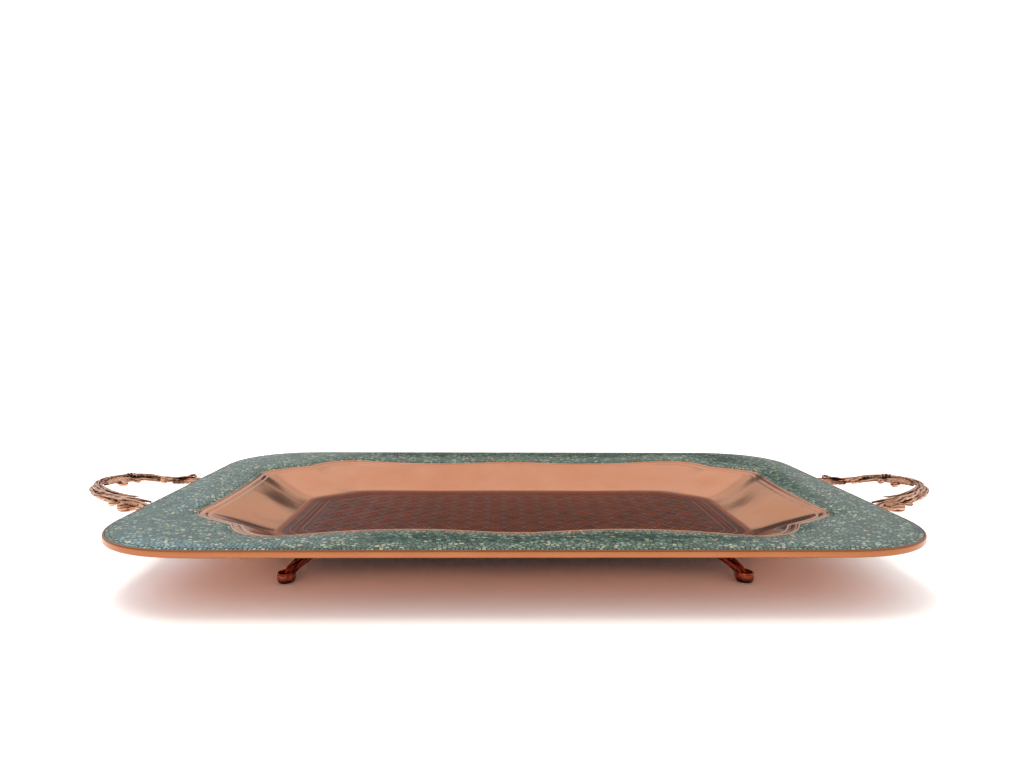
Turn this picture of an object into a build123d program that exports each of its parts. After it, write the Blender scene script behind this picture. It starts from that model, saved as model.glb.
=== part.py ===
"""Rectangular copper serving tray with a turquoise mosaic rim, a sunk fluted well, cast branch handles
and four cast scroll feet.

Millimetres, +Z up. The origin is on the table under the middle of the tray: X runs along the tray's
length, towards the right handle, and Y towards its rear. Every outline of the tray is a chain of cubic
Bezier curves, drawn for one quarter and mirrored, and the sheet's shape is a family of rings blended
between the outer edge, the mouth of the well and the floor.
"""

import os

from build123d import *

# Tray
LENGTH = 450.0
WIDTH = 305.0
CORNER_RADIUS = 64.0
CORNER_FULLNESS = 0.734      # 0.707 is a true quarter circle, a little more is squarer
EDGE_TOP = 36.0              # upper arris of the outer edge above the table
FLOOR_TOP = 17.0             # well floor above the table

# Flange, from the outer edge (0) to the mouth of the well (1)
MOUTH_DROP = 2.2             # how far the mouth lies below the outer edge
FLANGE_CROWN = 1.6           # how far the middle of the flange swells up
CHIP_THICKNESS = 1.2
LAC_THICKNESS = 0.8
SHEET = 1.0

# Edge band and well fence
BAND_HEIGHT = 4.0
BAND_WALL = 1.2
BAND_ROUNDING = 0.7
FENCE_SHARE = 0.03           # share of the flange's width that the fence takes
FENCE_PROUD = 0.2

# Well wall: height share = 1 - (1 - t ** WALL_FOOT) ** WALL_SHOULDER
WALL_FOOT = 1.6
WALL_SHOULDER = 1.6
FLANGE_SHARES = [0, 0.2, 0.4, 0.6, 0.8, 1 - FENCE_SHARE, 1]
WALL_STEPS = 7

# Handles
HANDLE_SIDE = 9.0            # branch section, across the bow
HANDLE_THICK = 7.0           # branch section, upright
LUG_X = 214.0
LUG_Y = 47.0
LUG_TOP = 32.0
LUG_THICKNESS = 3.0
LUG_LENGTH = 22.0
LUG_BREADTH = 15.0
LUG_ROUNDING = 4.5
LUG_STUD_INSET = 2.0         # the stud stands this far inwards of the lug's middle
LUG_NUT_ROOM = 6.5           # radius kept free under the lug for the washer and nut
BOW_PATH = [                 # middle of the branch, from the lug to the far end of the bow
    (216.0, 47.0, 30.5),
    (230.0, 47.0, 30.2),
    (245.0, 43.5, 31.6),
    (262.5, 34.0, 34.4),
    (276.5, 18.5, 36.8),
    (282.0, 0.0, 37.5),
]
STEM_LENGTH = 13.0
STEM_START = (234.0, 46.0, 30.6)
STEM_DIRECTION = (0.62, 0.78, 0.1)
BUD_RADIUS = 5.0
BUD_CENTRE = (242.0, 56.0, 31.2)

# Feet
FOOT_PAD_X = 115.0
FOOT_PAD_Y = 56.0
FOOT_PAD_RADIUS = 8.0
FOOT_PAD_THICKNESS = 3.0
FOOT_NUT_ROOM = 5.0          # radius kept free under the pad for the washer and nut
LEG_PATH = [(117.5, 62.0, 13.6), (120.5, 67.5, 11.8), (126.0, 80.0, 7.6), (130.5, 91.0, 4.8)]
LEG_BREADTH = 9.6
LEG_THICKNESS = 4.8
LEG_FACING = (1.0, -0.4, 0.0)
TOE_X = 131.0
TOE_Y = 92.0
TOE_LENGTH = 14.0
TOE_BREADTH = 12.0
TOE_HALF_HEIGHT = 4.8
TOE_TURN = -22.0             # degrees, the toe points outwards along the leg
TOE_CENTRE = 3.9             # lower than its half height, so that the toe has a flat sole

# Fixings, M3
STUD_RADIUS = 1.5
STUD_HOLE_RADIUS = 1.7
STUD_TIP = 0.6               # how far the stud shows below its nut
STUD_ABOVE_LUG = 1.5         # from the lug's top to the sheet above it
STUD_BASE_RADIUS = 4.5
WASHER_RADIUS = 4.0
WASHER_THICKNESS = 0.8
NUT_ACROSS_FLATS = 5.5
NUT_HEIGHT = 2.4

CUTTER = 20.0                # height of the plain blocks and rods that cut other pieces
QUARTERS = [(1, 1), (-1, 1), (-1, -1), (1, -1)]
SIDES = {"left": -1, "right": 1}


# ---------------------------------------------------------------- outlines

def line_curve(start, end):
    """A straight run as a cubic."""
    third = [start[i] + (end[i] - start[i]) / 3 for i in range(2)]
    two_thirds = [start[i] + (end[i] - start[i]) * 2 / 3 for i in range(2)]
    return [start, tuple(third), tuple(two_thirds), end]


def outer_quarter(inset=0.0):
    """Outer edge, a rounded rectangle slightly fuller than a circle at its corners."""
    half_length = LENGTH / 2 - inset
    half_width = WIDTH / 2 - inset
    radius = CORNER_RADIUS - inset
    side_end = half_width - radius
    front_end = half_length - radius
    corner = (front_end + radius * CORNER_FULLNESS, side_end + radius * CORNER_FULLNESS)
    lead = radius * 0.31
    swing = radius * 0.18
    return [
        line_curve((half_length, 0), (half_length, side_end / 2)),
        line_curve((half_length, side_end / 2), (half_length, side_end)),
        [(half_length, side_end), (half_length, side_end + lead),
         (corner[0] + swing, corner[1] - swing), corner],
        [corner, (corner[0] - swing, corner[1] + swing),
         (front_end + lead, half_width), (front_end, half_width)],
        line_curve((front_end, half_width), (60, half_width)),
        line_curve((60, half_width), (0, half_width)),
    ]


def mouth_quarter():
    """Mouth of the well: a bracket outline with a corner tip, a notch and a front lobe."""
    side, swell, tip = (187.0, 0.0), (188.0, 44.0), (186.5, 70.5)
    notch, lobe, waist, front = (160.0, 92.0), (128.0, 118.0), (58.0, 103.7), (0.0, 111.0)
    return [
        [side, (187.0, 15.0), (187.5, 30.0), swell],
        [swell, (188.6, 54.0), (191.5, 63.0), tip],
        [tip, (183.0, 75.8), (170.0, 84.5), notch],
        [notch, (156.5, 98.5), (153.0, 118.0), lobe],
        [lobe, (120.0, 118.0), (98.0, 103.7), waist],
        [waist, (32.0, 103.7), (18.0, 111.0), front],
    ]


def floor_quarter():
    """Flat floor: straight sides with the corners cut off on the slant."""
    side, turn, cut = (145.0, 0.0), (145.0, 24.0), (144.0, 46.0)
    slant, long_cut, straight, front = (130.0, 60.0), (114.0, 71.0), (58.0, 72.0), (0.0, 72.0)
    return [
        line_curve(side, turn),
        [turn, (145.0, 34.0), (146.0, 42.0), cut],
        [cut, (141.5, 50.5), (136.0, 55.0), slant],
        [slant, (124.0, 64.8), (119.0, 70.0), long_cut],
        [long_cut, (104.0, 73.0), (80.0, 72.0), straight],
        line_curve(straight, front),
    ]


def blend(first, second, share):
    """The outline that lies a given share of the way from the first to the second."""
    mixed = []
    for curve_a, curve_b in zip(first, second):
        mixed.append([tuple(a + (b - a) * share for a, b in zip(p, q)) for p, q in zip(curve_a, curve_b)])
    return mixed


def ring(quarter, height):
    """All round edges of one outline, at one height: four mirrored quarters."""
    edges = []
    for sign_x, sign_y in QUARTERS:
        curves = [[(x * sign_x, y * sign_y) for x, y in curve] for curve in quarter]
        if sign_x * sign_y < 0:
            curves = [curve[::-1] for curve in curves[::-1]]
        for curve in curves:
            edges.append(Edge.make_bezier(*[Vector(x, y, height) for x, y in curve]))
    return edges


# ---------------------------------------------------------------- surfaces

def strips(rings, closed=False):
    """Ruled faces between each ring and the next."""
    following = rings[1:] + rings[:1] if closed else rings[1:]
    faces = []
    for lower, upper in zip(rings, following):
        for edge_a, edge_b in zip(lower, upper):
            faces.append(Face.make_surface_from_curves(edge_a, edge_b))
    return faces


def sewn(faces):
    """A solid from faces that close on each other, with its skin facing outwards."""
    solid = Solid(Shell(Face.sew_faces(faces)[0]))
    if solid.volume < 0:
        solid = Solid(solid.wrapped.Reversed())
    return solid


def flange_height(share):
    """Top of the finished inlay across the flange, from the outer edge (0) to the mouth (1)."""
    return EDGE_TOP - MOUTH_DROP * share + FLANGE_CROWN * 4 * share * (1 - share)


def flange_rings(depth, shares):
    """Rings across the flange at a given depth below the finished inlay."""
    outer = outer_quarter(BAND_WALL)
    mouth = mouth_quarter()
    return [ring(blend(outer, mouth, share), flange_height(share) - depth) for share in shares]


def wall_height(share):
    """Top of the copper wall, from the floor (0) to the mouth (1)."""
    rise = flange_height(1) - CHIP_THICKNESS - LAC_THICKNESS - FLOOR_TOP
    return FLOOR_TOP + rise * (1 - (1 - share ** WALL_FOOT) ** WALL_SHOULDER)


def wall_rings(drop):
    """Rings down the well wall, from just below the mouth to the floor."""
    mouth = mouth_quarter()
    floor = floor_quarter()
    shares = [1 - step / WALL_STEPS for step in range(1, WALL_STEPS + 1)]
    return [ring(blend(floor, mouth, share), wall_height(share) - drop) for share in shares]


def flange_layer(top_depth, thickness):
    """A layer that follows the flange, from the band to the fence."""
    upper = flange_rings(top_depth, FLANGE_SHARES[:-1])
    lower = flange_rings(top_depth + thickness, FLANGE_SHARES[:-1])
    return sewn(strips(upper + lower[::-1], closed=True))


# ---------------------------------------------------------------- tray body

def tray_pan():
    depth = CHIP_THICKNESS + LAC_THICKNESS
    upper = flange_rings(depth, FLANGE_SHARES) + wall_rings(0)
    lower = flange_rings(depth + SHEET, FLANGE_SHARES) + wall_rings(SHEET)
    faces = strips(upper)
    faces += strips(lower)
    faces += strips([upper[0], lower[0]])
    faces.append(Face(Wire(upper[-1])))
    faces.append(Face(Wire(lower[-1])))
    return sewn(faces)


def edge_band():
    """Rounded copper strip round the outer edge, its inner face against the flange's layers."""
    top = EDGE_TOP
    bottom = EDGE_TOP - BAND_HEIGHT
    profile = [
        (BAND_WALL, bottom),
        (BAND_ROUNDING, bottom),
        (BAND_ROUNDING * 0.3, bottom + BAND_ROUNDING * 0.3),
        (0.0, bottom + BAND_ROUNDING),
        (0.0, top - BAND_ROUNDING),
        (BAND_ROUNDING * 0.3, top - BAND_ROUNDING * 0.3),
        (BAND_ROUNDING, top),
        (BAND_WALL, top),
    ]
    rings = [ring(outer_quarter(inset), height) for inset, height in profile]
    return sewn(strips(rings, closed=True))


def well_fence():
    """Wire soldered on the flange round the mouth, as high as the inlay and a hair more."""
    outer = outer_quarter(BAND_WALL)
    mouth = mouth_quarter()
    outside = blend(outer, mouth, 1 - FENCE_SHARE)
    rings = []
    for quarter, share in ((outside, 1 - FENCE_SHARE), (mouth, 1)):
        foot = flange_height(share) - CHIP_THICKNESS - LAC_THICKNESS
        head = flange_height(share) + FENCE_PROUD
        heights = (foot, head) if share < 1 else (head, foot)
        rings += [ring(quarter, height) for height in heights]
    return sewn(strips(rings, closed=True))


def lac_bed():
    return flange_layer(CHIP_THICKNESS, LAC_THICKNESS)


def turquoise_mosaic():
    return flange_layer(0, CHIP_THICKNESS)


# ---------------------------------------------------------------- handles

def on_end(point, end):
    """A point or direction of the handle's rear end, or its mirror image at the front end."""
    return (point[0], point[1] * end, point[2])


def handle(side):
    """Cast branch bow with a lug under the flange and a round bud at each end."""
    far_half = [(x, -y, z) for x, y, z in BOW_PATH[:-1]][::-1]
    path = Spline(*[Vector(*point) for point in BOW_PATH + far_half])
    section = Plane(origin=path @ 0, z_dir=path % 0, x_dir=(0, 1, 0)) * Ellipse(
        HANDLE_SIDE / 2, HANDLE_THICK / 2)
    body = sweep(section, path=path)
    for end in (1, -1):
        lug = Pos(LUG_X, end * LUG_Y, LUG_TOP - LUG_THICKNESS / 2) * Box(
            LUG_LENGTH, LUG_BREADTH, LUG_THICKNESS)
        lug = fillet(lug.edges().filter_by(Axis.Z), LUG_ROUNDING)
        stem_plane = Plane(origin=on_end(STEM_START, end), z_dir=on_end(STEM_DIRECTION, end))
        stem = Solid.make_cone(HANDLE_SIDE * 0.5, HANDLE_SIDE * 0.4, STEM_LENGTH, stem_plane)
        bud = Pos(*on_end(BUD_CENTRE, end)) * Sphere(BUD_RADIUS)
        body = body + lug + stem + bud
    above_lug = Pos(LUG_X, 0, LUG_TOP + CUTTER / 2) * Box(LUG_LENGTH + 1, LUG_Y * 3, CUTTER)
    body = body - above_lug
    for x, y in handle_fixing_places(1):
        below_lug = Pos(x, y, LUG_TOP - LUG_THICKNESS - CUTTER / 4) * Cylinder(LUG_NUT_ROOM, CUTTER / 2)
        hole = Pos(x, y, LUG_TOP) * Cylinder(STUD_HOLE_RADIUS, CUTTER)
        body = body - below_lug - hole
    return body if side > 0 else mirror(body, about=Plane.YZ)


def handle_fixing_places(side):
    return [(side * (LUG_X - LUG_STUD_INSET), end * LUG_Y) for end in (1, -1)]


# ---------------------------------------------------------------- feet

def foot(sign_x, sign_y):
    """Cast scroll foot: a round pad under the floor, a splayed leg and a curled toe."""
    pad_top = FLOOR_TOP - SHEET
    pad = Pos(FOOT_PAD_X, FOOT_PAD_Y, pad_top - FOOT_PAD_THICKNESS / 2) * Cylinder(
        FOOT_PAD_RADIUS, FOOT_PAD_THICKNESS)
    path = Spline(*[Vector(*point) for point in LEG_PATH])
    leg_section = Plane(origin=path @ 0, z_dir=path % 0, x_dir=LEG_FACING) * Ellipse(
        LEG_BREADTH / 2, LEG_THICKNESS / 2)
    leg = sweep(leg_section, path=path)
    toe = scale(Sphere(1), by=(TOE_BREADTH / 2, TOE_LENGTH / 2, TOE_HALF_HEIGHT))
    toe = Pos(TOE_X, TOE_Y, TOE_CENTRE) * (Rot(0, 0, TOE_TURN) * toe)
    body = pad + leg + toe
    block = Box(TOE_Y, TOE_Y, CUTTER)
    above_pad = Pos(FOOT_PAD_X, FOOT_PAD_Y, pad_top + CUTTER / 2) * block
    below_table = Pos(TOE_X, TOE_Y, -CUTTER / 2) * block
    pad_bottom = pad_top - FOOT_PAD_THICKNESS
    nut_room = Pos(FOOT_PAD_X, FOOT_PAD_Y, pad_bottom - CUTTER / 5) * Cylinder(FOOT_NUT_ROOM, CUTTER * 2 / 5)
    hole = Pos(FOOT_PAD_X, FOOT_PAD_Y, pad_top) * Cylinder(STUD_HOLE_RADIUS, CUTTER)
    body = body - above_pad - below_table - nut_room - hole
    if sign_x < 0:
        body = mirror(body, about=Plane.YZ)
    if sign_y < 0:
        body = mirror(body, about=Plane.XZ)
    return body


def foot_fixing_places():
    return [(sign_x * FOOT_PAD_X, sign_y * FOOT_PAD_Y) for sign_x, sign_y in QUARTERS]


# ---------------------------------------------------------------- fixings

def upright_cylinder(x, y, bottom, top, radius):
    return Pos(x, y, (bottom + top) / 2) * Cylinder(radius, top - bottom)


def studs(places, root, top_of_pad, pad_thickness, base_radius):
    """Threaded studs hanging from the sheet at height root, each with a soldered base if there is room."""
    solids = []
    for x, y in places:
        end = top_of_pad - pad_thickness - WASHER_THICKNESS - NUT_HEIGHT - STUD_TIP
        stud = upright_cylinder(x, y, end, root, STUD_RADIUS)
        if base_radius:
            stud = stud + upright_cylinder(x, y, top_of_pad, root, base_radius)
        solids.append(stud)
    return Compound(children=solids)


def washers(places, top):
    solids = []
    for x, y in places:
        disc = upright_cylinder(x, y, top - WASHER_THICKNESS, top, WASHER_RADIUS)
        solids.append(disc - upright_cylinder(x, y, top - CUTTER, top + CUTTER, STUD_HOLE_RADIUS))
    return Compound(children=solids)


def nuts(places, top):
    solids = []
    for x, y in places:
        hexagon = RegularPolygon(NUT_ACROSS_FLATS / 2, 6, major_radius=False)
        nut = Pos(x, y, top - NUT_HEIGHT) * extrude(hexagon, NUT_HEIGHT)
        solids.append(nut - upright_cylinder(x, y, top - CUTTER, top + CUTTER, STUD_RADIUS))
    return Compound(children=solids)


# ---------------------------------------------------------------- assembly

def all_nodes():
    nodes = {
        "tray_pan": tray_pan(),
        "edge_band": edge_band(),
        "well_fence": well_fence(),
        "lac_bed": lac_bed(),
        "turquoise_mosaic": turquoise_mosaic(),
    }
    lug_bottom = LUG_TOP - LUG_THICKNESS
    for name, side in SIDES.items():
        places = handle_fixing_places(side)
        nodes[f"{name}_handle"] = handle(side)
        nodes[f"{name}_handle_studs"] = studs(
            places, LUG_TOP + STUD_ABOVE_LUG, LUG_TOP, LUG_THICKNESS, STUD_BASE_RADIUS)
        nodes[f"{name}_handle_washers"] = washers(places, lug_bottom)
        nodes[f"{name}_handle_nuts"] = nuts(places, lug_bottom - WASHER_THICKNESS)
    for row, sign_y in (("front", -1), ("rear", 1)):
        for name, sign_x in SIDES.items():
            nodes[f"foot_{row}_{name}"] = foot(sign_x, sign_y)
    pad_top = FLOOR_TOP - SHEET
    pad_bottom = pad_top - FOOT_PAD_THICKNESS
    places = foot_fixing_places()
    nodes["foot_studs"] = studs(places, pad_top, pad_top, FOOT_PAD_THICKNESS, 0)
    nodes["foot_washers"] = washers(places, pad_bottom)
    nodes["foot_nuts"] = nuts(places, pad_bottom - WASHER_THICKNESS)
    return nodes


os.makedirs("parts", exist_ok=True)
for node_name, shape in all_nodes().items():
    export_step(shape, f"parts/{node_name}.step")
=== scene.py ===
"""A rectangular copper serving tray: a turquoise mosaic rim, a fluted well with a chased floor, and cast
handles and feet."""

import math

import bpy
import numpy as np
from mathutils import Matrix, Vector
from mathutils.geometry import delaunay_2d_cdt


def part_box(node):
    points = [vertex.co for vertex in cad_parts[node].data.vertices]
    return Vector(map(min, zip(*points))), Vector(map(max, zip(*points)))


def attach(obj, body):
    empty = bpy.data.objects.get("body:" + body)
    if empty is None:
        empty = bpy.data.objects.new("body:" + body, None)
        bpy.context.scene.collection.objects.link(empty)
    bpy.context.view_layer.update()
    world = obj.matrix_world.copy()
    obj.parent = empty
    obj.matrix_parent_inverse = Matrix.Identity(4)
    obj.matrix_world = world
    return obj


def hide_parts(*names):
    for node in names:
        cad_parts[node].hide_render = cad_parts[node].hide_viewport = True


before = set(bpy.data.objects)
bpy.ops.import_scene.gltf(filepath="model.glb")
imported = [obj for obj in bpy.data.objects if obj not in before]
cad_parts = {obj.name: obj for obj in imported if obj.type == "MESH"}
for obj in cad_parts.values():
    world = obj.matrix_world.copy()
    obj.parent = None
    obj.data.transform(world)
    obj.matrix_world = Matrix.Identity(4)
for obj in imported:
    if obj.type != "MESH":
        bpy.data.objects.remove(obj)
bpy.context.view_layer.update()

MM = 0.001


# ------------------------------------------------------------------ studio
# A pale table top, white all round, with two soft boxes. The camera stands low in front of the tray.

def linear(code):
    """An sRGB hex colour as linear red, green, blue and alpha."""
    values = [int(code[i:i + 2], 16) / 255 for i in (0, 2, 4)]
    return [v / 12.92 if v <= 0.04045 else ((v + 0.055) / 1.055) ** 2.4 for v in values] + [1.0]


def add(tree, kind, inputs=None, **settings):
    """Adds one node. An input takes a value, a node (its first live output) or (node, output name)."""
    node = tree.nodes.new(kind)
    for name, value in settings.items():
        setattr(node, name, value)
    live = [socket for socket in node.inputs if socket.enabled]
    for key, value in (inputs or {}).items():
        socket = live[key] if isinstance(key, int) else next(s for s in live if s.name == key)
        source, wanted = value, None
        if isinstance(value, tuple) and isinstance(value[0], bpy.types.Node):
            source, wanted = value
        if isinstance(source, bpy.types.Node):
            outputs = [s for s in source.outputs if s.enabled and wanted in (None, s.name)]
            tree.links.new(outputs[0], socket)
        else:
            socket.default_value = value
    return node


def new_material(name):
    """A material with an empty tree, and that tree."""
    material = bpy.data.materials.new(name)
    material.use_nodes = True
    tree = material.node_tree
    tree.nodes.clear()
    return material, tree


def mesh_piece(name, points, faces, material, smooth=True):
    """A mesh object from points in metres."""
    mesh = bpy.data.meshes.new(name)
    mesh.from_pydata([tuple(p) for p in points], [], [tuple(f) for f in faces])
    mesh.materials.append(material)
    if smooth:
        mesh.shade_smooth()
    piece = bpy.data.objects.new(name, mesh)
    bpy.context.scene.collection.objects.link(piece)
    return piece


EDGE_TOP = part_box("edge_band")[1].z
SENSOR_WIDTH, LENS = 36.0, 27.04
CAMERA_PLACE = (-0.01213, -0.5211, EDGE_TOP + 0.1069)
YAW, PITCH, ROLL = math.radians(-1.18), math.radians(-3.96), math.radians(0.29)

camera_data = bpy.data.cameras.new("camera")
camera_data.sensor_width = SENSOR_WIDTH
camera_data.lens = LENS
camera = bpy.data.objects.new("camera", camera_data)
camera_turn = Matrix.Rotation(YAW, 4, "Z") @ Matrix.Rotation(PITCH + math.pi / 2, 4, "X")
camera_turn = camera_turn @ Matrix.Rotation(ROLL, 4, "Z")
camera.matrix_world = Matrix.Translation(CAMERA_PLACE) @ camera_turn
bpy.context.scene.collection.objects.link(camera)
bpy.context.scene.camera = camera
bpy.context.scene.view_settings.view_transform = "Standard"

TABLE_HALF = 6.0
paper, paper_tree = new_material("white matt table paper")
paper_shader = add(paper_tree, "ShaderNodeBsdfPrincipled", {
    "Base Color": linear("F8F7F6"), "Roughness": 0.9, "Specular IOR Level": 0.2})
add(paper_tree, "ShaderNodeOutputMaterial", {"Surface": paper_shader})
table_corners = [(-TABLE_HALF, -TABLE_HALF, 0), (TABLE_HALF, -TABLE_HALF, 0),
                 (TABLE_HALF, TABLE_HALF, 0), (-TABLE_HALF, TABLE_HALF, 0)]
mesh_piece("table_top", table_corners, [(0, 1, 2, 3)], paper, smooth=False)

WINDOW_BLUE, WINDOW_LEVEL = "C4D8E8", 1.9
SHADE, CURTAIN, BACKDROP = (0.68, 0.64, 0.57, 1.0), (0.07, 0.07, 0.07, 1.0), (1.12, 1.12, 1.12, 1.0)
HORIZON_GREY, CEILING_GREY = 0.52, 0.84
DAYLIGHT_LOW, DAYLIGHT_HIGH = 0.05, 1.52

world = bpy.data.worlds.new("white room")
bpy.context.scene.world = world
world.use_nodes = True
room = world.node_tree
room.nodes.clear()
direction = add(room, "ShaderNodeTexCoord")
heading = add(room, "ShaderNodeSeparateXYZ", {0: (direction, "Generated")})


def span(axis, low, high, soft):
    """1 where a direction's part lies between two values, 0 outside, with soft edges."""
    rise = add(room, "ShaderNodeMapRange", {
        "Value": (heading, axis), "From Min": low - soft, "From Max": low + soft},
        interpolation_type="SMOOTHSTEP")
    fall = add(room, "ShaderNodeMapRange", {
        "Value": (heading, axis), "From Min": high - soft, "From Max": high + soft,
        "To Min": 1.0, "To Max": 0.0},
        interpolation_type="SMOOTHSTEP")
    return add(room, "ShaderNodeMath", {0: rise, 1: fall}, operation="MULTIPLY")


def patch(colour, onto, across, up):
    """Lays a soft rectangle of one colour on the room, where the metal and the stones mirror it."""
    area = add(room, "ShaderNodeMath", {0: across, 1: up}, operation="MULTIPLY")
    return add(room, "ShaderNodeMix", {"Factor": area, "A": onto, "B": colour}, data_type="RGBA")


# mirrored: dim near the horizon and pale above, with a blue window at the left and a dark curtain behind
ceiling = add(room, "ShaderNodeMapRange", {
    "Value": (heading, "Z"), "From Min": 0.17, "From Max": 0.34,
    "To Min": HORIZON_GREY, "To Max": CEILING_GREY},
    interpolation_type="SMOOTHSTEP")
grey = add(room, "ShaderNodeCombineColor", {"Red": ceiling, "Green": ceiling, "Blue": ceiling})
window = patch([WINDOW_LEVEL * level for level in linear(WINDOW_BLUE)], grey,
               span("X", -0.6, -0.2, 0.03), span("Z", 0.29, 0.7, 0.01))
shade = patch(SHADE, window, span("X", -0.28, 0.3, 0.08), span("Z", 0.28, 0.6, 0.05))
curtain = patch(CURTAIN, shade, span("X", -0.17, 0.32, 0.05), span("Z", 0.06, 0.315, 0.015))
# lit: brighter from above, so that the shade under the tray is deep
daylight = add(room, "ShaderNodeMapRange", {
    "Value": (heading, "Z"), "From Min": 0.0, "From Max": 0.42,
    "To Min": DAYLIGHT_LOW, "To Max": DAYLIGHT_HIGH})
lit = add(room, "ShaderNodeCombineColor", {"Red": daylight, "Green": daylight, "Blue": daylight})
ray = add(room, "ShaderNodeLightPath")
matt = add(room, "ShaderNodeMix", {
    "Factor": (ray, "Is Diffuse Ray"), "A": curtain, "B": lit}, data_type="RGBA")
seen = add(room, "ShaderNodeMix", {
    "Factor": (ray, "Is Camera Ray"), "A": matt, "B": BACKDROP}, data_type="RGBA")
backdrop = add(room, "ShaderNodeBackground", {"Color": seen, "Strength": 1.0})
add(room, "ShaderNodeOutputWorld", {"Surface": backdrop})


def soft_box(name, place, aim, width, height, watts, colour):
    """A rectangular soft box that faces a point; the room alone is mirrored, so it leaves no hot spot."""
    data = bpy.data.lights.new(name, "AREA")
    data.shape = "RECTANGLE"
    data.size = width
    data.size_y = height
    data.energy = watts
    data.color = linear(colour)[:3]
    lamp = bpy.data.objects.new(name, data)
    lamp.visible_glossy = False
    facing = (Vector(aim) - Vector(place)).to_track_quat("-Z", "Y")
    lamp.matrix_world = Matrix.Translation(place) @ facing.to_matrix().to_4x4()
    bpy.context.scene.collection.objects.link(lamp)


soft_box("overhead", (-0.3, 0.0, 1.5), (0, 0, 0), 1.1, 0.7, 16.0, "FFF6EA")
soft_box("window", (-1.3, 1.2, 1.1), (0, 0, 0), 0.7, 0.9, 9.0, "CFE4FF")


# ------------------------------------------------------------------ tray pan
# The body of the tray is one copper sheet, raised over stakes: a flange for the mosaic, a sloping wall
# whose flutes run down from the bracket-shaped mouth, and a flat floor. The wall is polished by hand.

BAND_WALL = 1.2
CORNER_RADIUS = 64.0
CORNER_FULLNESS = 0.734
CORNER_LEAD, CORNER_SWING = 0.31, 0.18
FRONT_JOIN = 60
MOUTH_DROP = 2.2
FLANGE_CROWN = 1.6
CHIP_THICKNESS = 1.2
LAC_THICKNESS = 0.8
SHEET = 1.0
WALL_FOOT = 1.6
WALL_SHOULDER = 1.6
CREASE_SHARE, CREASE_SPREAD, CREASE_DEPTH = 0.9, 0.02, 0.45
FLUTE_COUNT, FLUTE_DEPTH = 16, 0.38
SEAT_LIP = 0.3
FENCE_SHARE = 0.03
FLANGE_RINGS, LIP_RINGS, WALL_RINGS = 9, 26, 32
LIP_FOOT, FLOOR_RING = 0.8, 0.95
QUARTERS = [(1, 1), (-1, 1), (-1, -1), (1, -1)]

band_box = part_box("edge_band")
HALF_LENGTH = band_box[1].x / MM
HALF_WIDTH = band_box[1].y / MM
EDGE_HEIGHT = EDGE_TOP / MM
FLOOR_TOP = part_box("tray_pan")[0].z / MM + SHEET


def straight(start, end):
    """A straight run as a cubic curve."""
    start, end = np.array(start, float), np.array(end, float)
    return [start, start + (end - start) / 3, start + (end - start) * 2 / 3, end]


def outer_quarter(inset=0.0):
    """A quarter of the outer edge: a rounded rectangle slightly fuller than a circle at its corners."""
    half_length, half_width = HALF_LENGTH - inset, HALF_WIDTH - inset
    radius = CORNER_RADIUS - inset
    side_end, front_end = half_width - radius, half_length - radius
    corner = np.array([front_end, side_end]) + radius * CORNER_FULLNESS
    lead, swing = radius * CORNER_LEAD, np.array([radius, -radius]) * CORNER_SWING
    return [
        straight((half_length, 0), (half_length, side_end / 2)),
        straight((half_length, side_end / 2), (half_length, side_end)),
        [(half_length, side_end), (half_length, side_end + lead), corner + swing, corner],
        [corner, corner - swing, (front_end + lead, half_width), (front_end, half_width)],
        straight((front_end, half_width), (FRONT_JOIN, half_width)),
        straight((FRONT_JOIN, half_width), (0, half_width)),
    ]


def mouth_quarter():
    """A quarter of the well's mouth: a corner tip, a notch and a front lobe."""
    side, swell, tip = (187.0, 0.0), (188.0, 44.0), (186.5, 70.5)
    notch, lobe, waist, front = (160.0, 92.0), (128.0, 118.0), (58.0, 103.7), (0.0, 111.0)
    return [
        [side, (187.0, 15.0), (187.5, 30.0), swell],
        [swell, (188.6, 54.0), (191.5, 63.0), tip],
        [tip, (183.0, 75.8), (170.0, 84.5), notch],
        [notch, (156.5, 98.5), (153.0, 118.0), lobe],
        [lobe, (120.0, 118.0), (98.0, 103.7), waist],
        [waist, (32.0, 103.7), (18.0, 111.0), front],
    ]


def floor_quarter():
    """A quarter of the flat floor, its corners cut off on the slant."""
    side, turn, cut = (145.0, 0.0), (145.0, 24.0), (144.0, 46.0)
    slant, long_cut, run, front = (130.0, 60.0), (114.0, 71.0), (58.0, 72.0), (0.0, 72.0)
    return [
        straight(side, turn),
        [turn, (145.0, 34.0), (146.0, 42.0), cut],
        [cut, (141.5, 50.5), (136.0, 55.0), slant],
        [slant, (124.0, 64.8), (119.0, 70.0), long_cut],
        [long_cut, (104.0, 73.0), (80.0, 72.0), run],
        straight(run, front),
    ]


def trace(quarter, per_curve=20):
    """Points round a whole outline, in millimetres, from its mirrored quarter."""
    t = np.linspace(0, 1, per_curve, endpoint=False)[:, None]
    loop = []
    for sign_x, sign_y in QUARTERS:
        curves = [[np.array(p, float) * (sign_x, sign_y) for p in curve] for curve in quarter]
        if sign_x * sign_y < 0:
            curves = [curve[::-1] for curve in curves[::-1]]
        for a, b, c, d in curves:
            loop.append(a * (1 - t) ** 3 + 3 * b * t * (1 - t) ** 2 + 3 * c * t ** 2 * (1 - t) + d * t ** 3)
    return np.concatenate(loop)


OUTER = trace(outer_quarter(BAND_WALL))
MOUTH = trace(mouth_quarter())
FLOOR = trace(floor_quarter())


def flange_height(share):
    """Top of the finished inlay across the flange, from the outer edge (0) to the mouth (1)."""
    return EDGE_HEIGHT - MOUTH_DROP * share + FLANGE_CROWN * 4 * share * (1 - share)


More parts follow.
